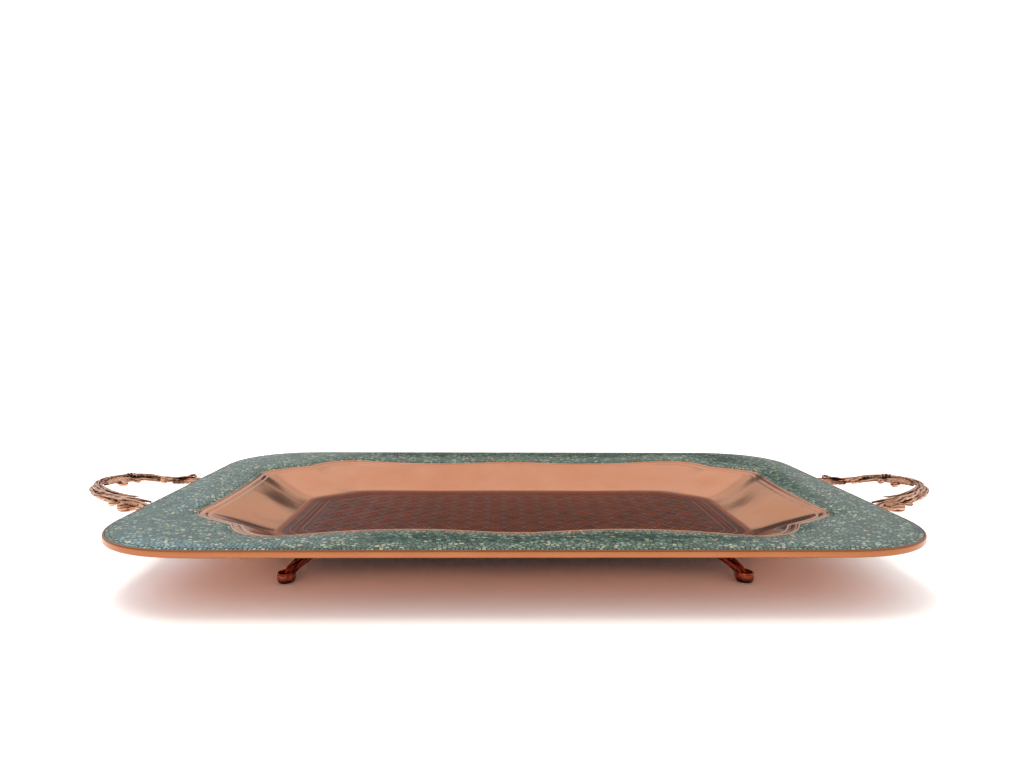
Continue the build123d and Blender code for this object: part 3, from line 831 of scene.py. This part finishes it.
def antique_copper(name, tones):
    """Cast copper toned brown-black with sulphur and rubbed back: dark dull hollows, warm bright crests."""
    material, tree = new_material(name)
    place = add(tree, "ShaderNodeTexCoord")
    hollow = add(tree, "ShaderNodeAttribute", attribute_name="hollow")
    open_sky = add(tree, "ShaderNodeAmbientOcclusion", {"Distance": 0.005}, samples=8)
    stain = add(tree, "ShaderNodeTexNoise", {"Vector": (place, "Object"), "Scale": every(5), "Detail": 4.0})
    skin = add(tree, "ShaderNodeTexNoise", {
        "Vector": (place, "Object"), "Scale": every(0.9), "Detail": 3.0})
    crest = add(tree, "ShaderNodeMapRange", {"Value": (open_sky, "AO"), "From Min": 0.25, "From Max": 0.85})
    cleared = add(tree, "ShaderNodeMath", {
        0: (hollow, "Fac"), 1: -0.85, 2: crest}, operation="MULTIPLY_ADD")
    blotch = add(tree, "ShaderNodeMapRange", {
        "Value": stain, "From Min": 0.3, "From Max": 0.7, "To Min": -0.34, "To Max": 0.16})
    rubbed = add(tree, "ShaderNodeMath", {0: cleared, 1: blotch}, operation="ADD", use_clamp=True)
    tone = add(tree, "ShaderNodeValToRGB", {"Fac": rubbed})
    set_ramp(tone, tones)
    metal = add(tree, "ShaderNodeMapRange", {"Value": rubbed, "To Min": 0.45, "To Max": 1.0})
    rough = add(tree, "ShaderNodeMapRange", {"Value": rubbed, "To Min": 0.6, "To Max": 0.27})
    bump = add(tree, "ShaderNodeBump", {"Height": skin, "Strength": 0.35, "Distance": 0.0003})
    shader = add(tree, "ShaderNodeBsdfPrincipled", {
        "Base Color": tone, "Metallic": metal, "Roughness": rough, "Normal": bump})
    add(tree, "ShaderNodeOutputMaterial", {"Surface": shader})
    return material


def rod_tree():
    """Sweeps lines into knotty rods with long grooves, and marks how deep each point lies in a groove."""
    tree, given = new_setting("wax rods", ROD_INPUTS)
    lines = add(tree, "GeometryNodeMeshToCurve", {"Mesh": (given, "Geometry")})
    supple = add(tree, "GeometryNodeCurveSplineType", {"Curve": lines}, spline_type="CATMULL_ROM")
    even = add(tree, "GeometryNodeResampleCurve", {
        "Curve": supple, "Length": (given, "Step")}, mode="LENGTH")
    run = add(tree, "GeometryNodeSplineParameter")
    marked = add(tree, "GeometryNodeStoreNamedAttribute", {
        "Geometry": even, "Name": "along", "Value": (run, "Length")}, data_type="FLOAT", domain="POINT")
    circle = add(tree, "GeometryNodeCurvePrimitiveCircle", {
        "Resolution": (given, "Sides"), "Radius": 1.0}, mode="RADIUS")
    ringed = add(tree, "GeometryNodeStoreNamedAttribute", {
        "Geometry": circle, "Name": "around", "Value": (run, "Factor")}, data_type="FLOAT", domain="POINT")
    found = {name: add(tree, "GeometryNodeInputNamedAttribute", {"Name": name}, data_type="FLOAT")
             for name in ("along", "around", "thick", "grooves", "depth")}
    rods = add(tree, "GeometryNodeCurveToMesh", {
        "Curve": marked, "Profile Curve": ringed, "Scale": found["thick"], "Fill Caps": True})

    # grooves run along the rod and wander a little; knots swell it
    place = add(tree, "GeometryNodeInputPosition")
    wander = add(tree, "ShaderNodeTexNoise", {"Vector": place, "Scale": every(9), "Detail": 1.0})
    count = add(tree, "ShaderNodeMath", {0: found["around"], 1: found["grooves"]}, operation="MULTIPLY")
    spun = add(tree, "ShaderNodeMath", {
        0: found["along"], 1: (given, "Twist"), 2: count}, operation="MULTIPLY_ADD")
    bent = add(tree, "ShaderNodeMath", {0: wander, 1: (given, "Waver"), 2: spun}, operation="MULTIPLY_ADD")
    angle = add(tree, "ShaderNodeMath", {0: bent, 1: math.pi}, operation="MULTIPLY")
    wave = add(tree, "ShaderNodeMath", {0: angle}, operation="SINE")
    ridge = add(tree, "ShaderNodeMath", {0: wave}, operation="ABSOLUTE")
    flank = add(tree, "ShaderNodeMath", {0: 1.0, 1: ridge}, operation="SUBTRACT")
    cut = add(tree, "ShaderNodeMath", {0: flank, 1: GROOVE_SHARPNESS}, operation="POWER")
    noted = add(tree, "GeometryNodeStoreNamedAttribute", {
        "Geometry": rods, "Name": "hollow", "Value": cut}, data_type="FLOAT", domain="POINT")
    lump = add(tree, "ShaderNodeMath", {0: 1.0, 1: (given, "Knot Size")}, operation="DIVIDE")
    knot = add(tree, "ShaderNodeTexNoise", {"Vector": place, "Scale": lump, "Detail": 2.0})
    swell = add(tree, "ShaderNodeMath", {0: knot, 1: 0.5}, operation="SUBTRACT")
    swollen = add(tree, "ShaderNodeMath", {0: swell, 1: (given, "Knots")}, operation="MULTIPLY")
    sunk = add(tree, "ShaderNodeMath", {0: cut, 1: found["depth"]}, operation="MULTIPLY")
    change = add(tree, "ShaderNodeMath", {0: swollen, 1: sunk}, operation="SUBTRACT")
    amount = add(tree, "ShaderNodeMath", {0: change, 1: found["thick"]}, operation="MULTIPLY")
    normal = add(tree, "GeometryNodeInputNormal")
    moved = add(tree, "ShaderNodeVectorMath", {0: normal, "Scale": amount}, operation="SCALE")
    carved = add(tree, "GeometryNodeSetPosition", {"Geometry": noted, "Offset": moved})
    rounded = add(tree, "GeometryNodeSetShadeSmooth", {"Geometry": carved, "Shade Smooth": True})
    real = add(tree, "GeometryNodeRealizeInstances", {"Geometry": rounded})
    metal = add(tree, "GeometryNodeSetMaterial", {"Geometry": real, "Material": (given, "Metal")})
    add(tree, "NodeGroupOutput", {"Geometry": metal})
    return tree


def rod_lines(rods, flip, hoops=()):
    """Bare lines for the rods, in metres, mirrored by flip; each carries its thickness and grooves."""
    points, edges, values = [], [], {"thick": [], "grooves": [], "depth": []}
    lines = [(line, grooves, depth, False) for line, grooves, depth in rods]
    lines += [(ring, 1, 0.0, True) for ring in hoops]
    for line, grooves, depth, closed in lines:
        first = len(points)
        for x, y, z, radius in line:
            points.append((x * flip[0] * MM, y * flip[1] * MM, z * MM))
            values["thick"].append(radius * MM)
            values["grooves"].append(grooves)
            values["depth"].append(depth)
        edges += [(i, i + 1) for i in range(first, len(points) - 1)]
        if closed:
            edges.append((len(points) - 1, first))
    mesh = bpy.data.meshes.new("rod lines")
    mesh.from_pydata(points, edges, [])
    for name, numbers in values.items():
        mesh.attributes.new(name, "FLOAT", "POINT").data.foreach_set("value", numbers)
    return mesh


def hoop(centre, axis, radius, wire, count=14):
    """A closed ring of wire round an axis."""
    axis = Vector(axis).normalized()
    first = axis.orthogonal().normalized()
    second = axis.cross(first)
    turns = [2 * math.pi * i / count for i in range(count)]
    reach = [(first * math.cos(a) + second * math.sin(a)) * radius for a in turns]
    return [(*(Vector(centre) + out), wire) for out in reach]


def leaf_mesh(name, leaves, flip, material):
    """Pointed, cupped leaves with a midrib and side veins, each a sheet that Solidify makes a blade."""
    along, across = np.meshgrid(
        np.linspace(0, 1, LEAF_ALONG), np.linspace(-1, 1, LEAF_ACROSS), indexing="ij")
    flip = np.array([flip[0], flip[1], 1.0])
    points, faces, hollows = [], [], []
    for root, tip, facing, width, curl in leaves:
        root, tip, facing = (np.array(v, float) * flip for v in (root, tip, facing))
        length = np.linalg.norm(tip - root)
        forward = (tip - root) / length
        sideways = np.cross(facing, forward)
        sideways /= np.linalg.norm(sideways)
        up = np.cross(forward, sideways)
        half = width / 2 * np.sin(np.pi * (0.06 + 0.93 * along) ** 0.8) ** 0.8
        half *= 1 + LEAF_TOOTH * np.sin(2 * np.pi * LEAF_TEETH * along)
        vein = np.abs(np.sin(np.pi * (LEAF_VEINS * along - VEIN_SLANT * np.abs(across))))
        rib = np.exp(-(across / RIB_WIDTH) ** 2)
        lift = LEAF_CUP * half * across ** 2 + RIB_HEIGHT * rib
        lift = lift + VEIN_HEIGHT * vein * (1 - rib) + curl * along ** 3
        lift += LEAF_ARCH * length * np.sin(np.pi * along)
        grid = root + along[..., None] * length * forward + (half * across)[..., None] * sideways
        grid = grid + lift[..., None] * up
        first = len(points)
        points += list(grid.reshape(-1, 3) * MM)
        hollows += list(((1 - vein) * (1 - rib)).ravel() * 0.8)
        for i in range(LEAF_ALONG - 1):
            for j in range(LEAF_ACROSS - 1):
                a = first + i * LEAF_ACROSS + j
                faces.append((a, a + LEAF_ACROSS, a + LEAF_ACROSS + 1, a + 1))
    piece = mesh_piece(name, points, faces, material)
    piece.data.attributes.new("hollow", "FLOAT", "POINT").data.foreach_set("value", hollows)
    blade = piece.modifiers.new("blade", "SOLIDIFY")
    blade.thickness = LEAF_THICKNESS * MM
    blade.offset = 0.0
    return piece


def lug_plate(name, flip, material):
    """The flat end of a casting: an oval plate with eased edges and a hole for its stud."""
    angle = np.linspace(0, 2 * math.pi, LUG_SIDES, endpoint=False)
    around = np.column_stack([np.cos(angle), np.sin(angle)])
    oval = np.sign(around) * np.abs(around) ** LUG_SQUARENESS * LUG_HALF
    hole = around * LUG_HOLE_RADIUS + (LUG_HOLE_X - LUG_CENTRE[0], 0)
    low, high = LUG_LEVELS
    eased = oval * (1 - LUG_CHAMFER / np.array(LUG_HALF))
    levels = [(eased, low), (oval, low + LUG_CHAMFER), (oval, high - LUG_CHAMFER), (eased, high),
              (hole, high), (hole, low)]
    points, faces = [], []
    for end in (-1, 1):
        first = len(points)
        for ring, height in levels:
            flat = (ring + LUG_CENTRE) * (flip[0], end)
            points += [(x * MM, y * MM, height * MM) for x, y in flat]
        mirrored = flip[0] * end < 0
        for face in ring_faces(len(levels), len(angle), closed=True):
            corners = [first + corner for corner in face]
            faces.append(corners[::-1] if mirrored else corners)
    return mesh_piece(name, points, faces, material, smooth=False)


antique = antique_copper("rubbed cast copper", HANDLE_TONES)
wax_rods = rod_tree()
collar = [hoop(centre, COLLAR_AXIS, radius, COLLAR_WIRE) for centre, radius in COLLAR_TURNS]
for side, sign in (("left", -1), ("right", 1)):
    lines = rod_lines(HANDLE_RODS, (sign, 1), collar)
    branch = made_by(wax_rods, side + "_handle_branches", lines, {
        "Step": 0.55 * MM, "Sides": 28, "Twist": 38.0, "Waver": 1.6, "Knot Size": 5 * MM, "Knots": 0.42,
        "Metal": antique})
    leaves = leaf_mesh(side + "_handle_leaves", HANDLE_LEAVES, (sign, 1), antique)
    lugs = lug_plate(side + "_handle_lugs", (sign, 1), antique)
    for piece in (branch, leaves, lugs):
        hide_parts(side + "_handle")
        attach(piece, "root")


# ------------------------------------------------------------------ chased floor
# With the tray on pitch, the floor is lined with a blunt tracer: two rules and a row of beads round its
# edge, and inside them a net of waves with a rosette of punched beads in each mesh of the net.

RULE_SHARES, BEAD_SHARE, FIELD_SHARE = (0.975, 0.925), 0.95, 0.905
RULE_WIRE, WAVE_WIRE, LINE_SUNK = 0.55, 0.42, 0.16
NET_PITCH, NET_WAVE = (24.0, 12.0), 5.4
BEAD_RADIUS, BEAD_STEP, ROSETTE_BEADS, ROSETTE_RADIUS = 0.8, 2.6, 7, 2.6
BEAD_INPUTS = [("Radius", "Float"), ("Metal", "Material")]
BEAD_FLATNESS, ROSETTE_CLEAR_SHARE = 0.45, 0.05
NET_REACH, NET_STEP, NET_ROWS, NET_SHORTEST = 140.0, 2.0, range(-7, 8), 2


def net_lines():
    """The rules, and the waves of the net where they lie inside the field, as thin rods on the floor."""
    lines = []
    level = FLOOR_TOP - LINE_SUNK
    for share in RULE_SHARES:
        lines.append([(x, y, level, RULE_WIRE) for x, y in FLOOR[::4] * share])
    field = FLOOR[::4] * FIELD_SHARE
    x = np.arange(-NET_REACH, NET_REACH + 0.1, NET_STEP)
    rods_in_net = []
    for row in NET_ROWS:
        for swing in (1, -1):
            y = row * NET_PITCH[1] + swing * NET_WAVE * np.cos(2 * np.pi * x / NET_PITCH[0])
            kept = inside(np.column_stack([x, y]), field)
            edges = np.flatnonzero(np.diff(np.concatenate([[0], kept.astype(int), [0]])))
            for start, end in zip(edges[::2], edges[1::2]):
                if end - start > NET_SHORTEST:
                    run = [(x[i], y[i], level, WAVE_WIRE) for i in range(start, end)]
                    rods_in_net.append((run, 1, 0.0))
    return rod_lines(rods_in_net, (1, 1), lines)


def bead_places():
    """Where the punched beads stand: a row between the rules and a rosette in each mesh of the net."""
    loop = np.vstack([FLOOR, FLOOR[:1]]) * BEAD_SHARE
    run = np.concatenate([[0], np.cumsum(np.linalg.norm(np.diff(loop, axis=0), axis=1))])
    at = np.linspace(0, run[-1], int(run[-1] / BEAD_STEP), endpoint=False)
    places = [np.column_stack([np.interp(at, run, loop[:, i]) for i in (0, 1)])]
    field = FLOOR[::4] * (FIELD_SHARE - ROSETTE_CLEAR_SHARE)
    turns = np.linspace(0, 2 * np.pi, ROSETTE_BEADS - 1, endpoint=False)
    rosette = np.column_stack([np.cos(turns), np.sin(turns)]) * ROSETTE_RADIUS
    rosette = np.vstack([rosette, (0, 0)])
    for row in NET_ROWS:
        for column in NET_ROWS:
            middle = np.array([(column + row % 2 * 0.5) * NET_PITCH[0], row * NET_PITCH[1]])
            if inside(middle[None, :], field)[0]:
                places.append(rosette + middle)
    flat = np.concatenate(places)
    mesh = bpy.data.meshes.new("bead places")
    mesh.from_pydata(np.column_stack([flat, np.full(len(flat), FLOOR_TOP)]) * MM, [], [])
    return mesh


def bead_tree():
    """Sets a low dome on every point."""
    tree, given = new_setting("punched beads", BEAD_INPUTS)
    ball = add(tree, "GeometryNodeMeshUVSphere", {"Segments": 8, "Rings": 6, "Radius": (given, "Radius")})
    dome = add(tree, "GeometryNodeTransform", {"Geometry": ball, "Scale": (1.0, 1.0, BEAD_FLATNESS)})
    domes = add(tree, "GeometryNodeInstanceOnPoints", {"Points": (given, "Geometry"), "Instance": dome})
    real = add(tree, "GeometryNodeRealizeInstances", {"Geometry": domes})
    rounded = add(tree, "GeometryNodeSetShadeSmooth", {"Geometry": real, "Shade Smooth": True})
    metal = add(tree, "GeometryNodeSetMaterial", {"Geometry": rounded, "Material": (given, "Metal")})
    add(tree, "NodeGroupOutput", {"Geometry": metal})
    return tree


floor_net = made_by(wax_rods, "chased_floor_net", net_lines(), {
    "Step": 1.6 * MM, "Sides": 6, "Twist": 0.0, "Waver": 0.0, "Knot Size": 5 * MM, "Knots": 0.0,
    "Metal": pan.data.materials[0]})
floor_beads = made_by(bead_tree(), "chased_floor_beads", bead_places(), {
    "Radius": BEAD_RADIUS * MM, "Metal": pan.data.materials[0]})
for piece in (floor_net, floor_beads):
    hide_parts("tray_pan")
    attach(piece, "root")


# ------------------------------------------------------------------ feet
# Four cast scroll feet, of the same copper as the handles, but with darker tones as painted shade for the
# shadow under the tray. Two ribs run down from a round pad under the floor and end in an open curled cup
# that stands on the table. Each pad is held by one stud.

# the feet's tones: the handles' copper darkened as painted shade for the shadow under the tray
FOOT_SHADED_TONES = [(0.0, "140605"), (0.35, "43170F"), (0.65, "84392A"), (1.0, "B8654C")]
FOOT_RODS = [
    ([(111, 55, 14.6, 1.2), (112.8, 60, 13.4, 1.7), (117.8, 67.5, 11.0, 1.9), (123.4, 76.5, 8.6, 2.0),
      (127.4, 83.6, 5.8, 2.0), (129.2, 88.4, 3.2, 1.6)], 5, 0.2),
    ([(118, 53.6, 14.6, 1.2), (119.8, 58.4, 13.6, 1.7), (123.6, 66.5, 11.0, 1.9), (127.6, 75.6, 8.4, 2.0),
      (130.8, 83.6, 5.6, 1.9), (132.0, 88.4, 3.2, 1.5)], 5, 0.2),
]
FOOT_LEAF = ((117.5, 61, 14.0), (128.6, 83.5, 7.8), (0.25, 0.5, 0.85), 4.4, 0.5)
CUP_CENTRE, CUP_HALF, CUP_TURN = (130.6, 90.8), (4.7, 6.0), -22.0
CUP_WALL = [(0.02, 0.0), (0.58, 0.0), (0.8, 0.4), (0.95, 1.6), (1.02, 3.3), (1.0, 5.0), (0.95, 5.7),
            (0.86, 5.5), (0.83, 4.3), (0.74, 2.6), (0.5, 1.8), (0.02, 1.6)]
CUP_FLUTES, CUP_FLUTE_DEPTH = 11, 0.02
LIP_LEVEL, LIP_SHARE, LIP_WIRE = 5.5, 0.93, 0.6
PAD_CENTRE, PAD_RADIUS = (115.0, 56.0), 8.0
PAD_SIDE = [(0.02, 13.0), (0.86, 13.0), (0.95, 13.3), (1.0, 14.0), (1.0, 15.2), (0.95, 16.0), (0.02, 16.0)]
TURNED_SIDES = 72


def turned(profile, centre, half, angle=0.0, flutes=0, depth=0.0):
    """Rings of points round an upright axis, waved where it is fluted, and the faces between them."""
    around = np.linspace(0, 2 * math.pi, TURNED_SIDES, endpoint=False)
    turn = math.radians(angle)
    points = []
    for share, height in profile:
        reach = share * (1 + depth * np.cos(flutes * around))
        x, y = reach * np.cos(around) * half[0], reach * np.sin(around) * half[1]
        points.append(np.column_stack([
            centre[0] + x * math.cos(turn) - y * math.sin(turn),
            centre[1] + x * math.sin(turn) + y * math.cos(turn), np.full(TURNED_SIDES, height)]))
    faces = ring_faces(len(profile), TURNED_SIDES)
    last = (len(profile) - 1) * TURNED_SIDES
    faces.append(tuple(range(TURNED_SIDES))[::-1])
    faces.append(tuple(range(last, last + TURNED_SIDES)))
    return np.concatenate(points), faces


def foot_cup(name, flip, material):
    """The open cup and the pad, in one mesh, mirrored by flip."""
    cup = turned(CUP_WALL, CUP_CENTRE, CUP_HALF, CUP_TURN, CUP_FLUTES, CUP_FLUTE_DEPTH)
    pad = turned(PAD_SIDE, PAD_CENTRE, (PAD_RADIUS, PAD_RADIUS))
    points = np.concatenate([cup[0], pad[0]]) * (*flip, 1) * MM
    faces = cup[1] + [tuple(len(cup[0]) + corner for corner in face) for face in pad[1]]
    if flip[0] * flip[1] < 0:
        faces = [face[::-1] for face in faces]
    return mesh_piece(name, points, faces, material)


# the same rubbed copper, darkened as painted shade because the feet stand under the tray
shaded_foot_copper = antique_copper("cast copper darkened as painted shade", FOOT_SHADED_TONES)
lip = [(*point[:2], LIP_LEVEL, LIP_WIRE)
       for point in turned([(LIP_SHARE, LIP_LEVEL)], CUP_CENTRE, CUP_HALF, CUP_TURN)[0][::3]]
for end, sign_y in (("front", -1), ("rear", 1)):
    for side, sign_x in (("left", -1), ("right", 1)):
        foot = "foot_%s_%s" % (end, side)
        flip = (sign_x, sign_y)
        ribs = made_by(wax_rods, foot + "_ribs", rod_lines(FOOT_RODS, flip, [lip]), {
            "Step": 0.6 * MM, "Sides": 24, "Twist": 18.0, "Waver": 1.4, "Knot Size": 4 * MM, "Knots": 0.2,
            "Metal": shaded_foot_copper})
        leaf = leaf_mesh(foot + "_leaf", [FOOT_LEAF], flip, shaded_foot_copper)
        cup = foot_cup(foot + "_cup", flip, shaded_foot_copper)
        for piece in (ribs, leaf, cup):
            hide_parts(foot)
            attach(piece, "root")


# ------------------------------------------------------------------ brass fixings
# Plain M3 studs are soldered under the flange and the floor, and each casting is drawn up on them with a
# turned washer and a milled hexagon nut. They are bright brass, dulled by handling.


def turned_brass():
    """Free-cutting brass from the lathe: yellow, with fine tool rings and small dull tarnish spots."""
    material, tree = new_material("turned brass")
    place = add(tree, "ShaderNodeTexCoord")
    spots = add(tree, "ShaderNodeTexNoise", {
        "Vector": (place, "Object"), "Scale": every(2.5), "Detail": 4.0})
    tone = add(tree, "ShaderNodeValToRGB", {"Fac": spots})
    set_ramp(tone, [(0.35, "8A6A33"), (0.5, "C9A45A"), (0.7, "DDBB74")])
    rings = add(tree, "ShaderNodeTexWave", {
        "Vector": (place, "Object"), "Scale": every(2.5), "Distortion": 1.5}, bands_direction="Z")
    rough = add(tree, "ShaderNodeMapRange", {"Value": spots, "To Min": 0.42, "To Max": 0.24})
    bump = add(tree, "ShaderNodeBump", {"Height": rings, "Strength": 0.2, "Distance": 0.0001})
    shader = add(tree, "ShaderNodeBsdfPrincipled", {
        "Base Color": tone, "Metallic": 1.0, "Roughness": rough, "Normal": bump})
    add(tree, "ShaderNodeOutputMaterial", {"Surface": shader})
    return material


brass = turned_brass()
for owner in ("left_handle", "right_handle", "foot"):
    for kind in ("studs", "washers", "nuts"):
        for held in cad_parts[owner + "_" + kind].material_slots:
            held.material = brass
